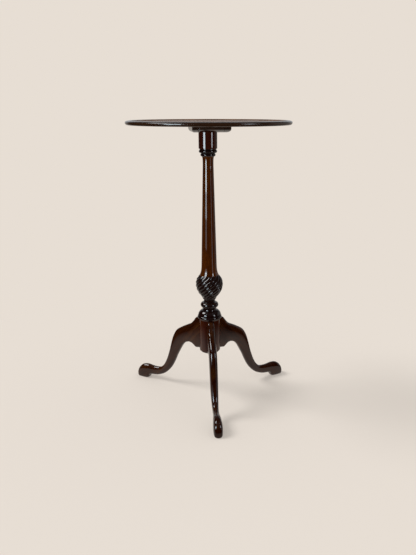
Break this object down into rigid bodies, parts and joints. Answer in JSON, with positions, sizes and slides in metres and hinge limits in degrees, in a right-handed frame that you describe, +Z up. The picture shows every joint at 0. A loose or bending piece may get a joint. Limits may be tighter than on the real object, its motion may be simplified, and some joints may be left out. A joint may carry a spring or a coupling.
{
  "type": "tilt top table",
  "caption": "Small round dished tilt-top tripod table with a turned pillar, spiral-carved knop and cabriole legs; the top tips upright on a pivoted block.",
  "frame": {"origin": "on the pillar's axis, at the level of the floor that the three feet stand on", "axes": "+Z up along the pillar; X along the tilt pivot pins; the top tips towards -Y, and the catch is on the +Y side"},
  "size_m": [0.43, 0.4514, 0.739],
  "materials": {
    "top_wood": "French-polished mahogany",
    "pillar_wood": "dark French-polished mahogany, high gloss",
    "leg_wood": "dark French-polished mahogany, high gloss",
    "dark_wood": "dark stained mahogany, waxed",
    "pale_wood": "unpolished beech",
    "steel": "darkened iron",
    "brass": "aged brass"
  },
  "bodies": {
    "stand": {"column": "pillar_wood", "hub_boss": "dark_wood", "tilt_block": "dark_wood", "tenon_wedges": "pale_wood", "leg_front": "leg_wood", "leg_right": "leg_wood", "leg_left": "leg_wood", "keep_plate": "brass", "keep_screws": "brass"},
    "top": {"top_board": "top_wood", "bearer_left": "dark_wood", "bearer_right": "dark_wood", "bearer_screws": "steel", "pivot_pins": "steel", "catch_plate": "brass", "catch_case": "brass", "friction_leaf": "brass", "catch_screws": "brass"},
    "bolt": {"catch_bolt": "brass", "catch_knob": "brass"}
  },
  "joints": [
    {"name": "top_tilt", "type": "hinge", "parent": "stand", "child": "top", "pos_m": [0.0035, -0.0433, 0.7195], "axis": [1, 0, 0], "range_deg": [0, 90]},
    {"name": "catch_slide", "type": "slide", "parent": "top", "child": "bolt", "axis": [0, -1, 0], "range_m": [0, 0.008]}
  ]
}
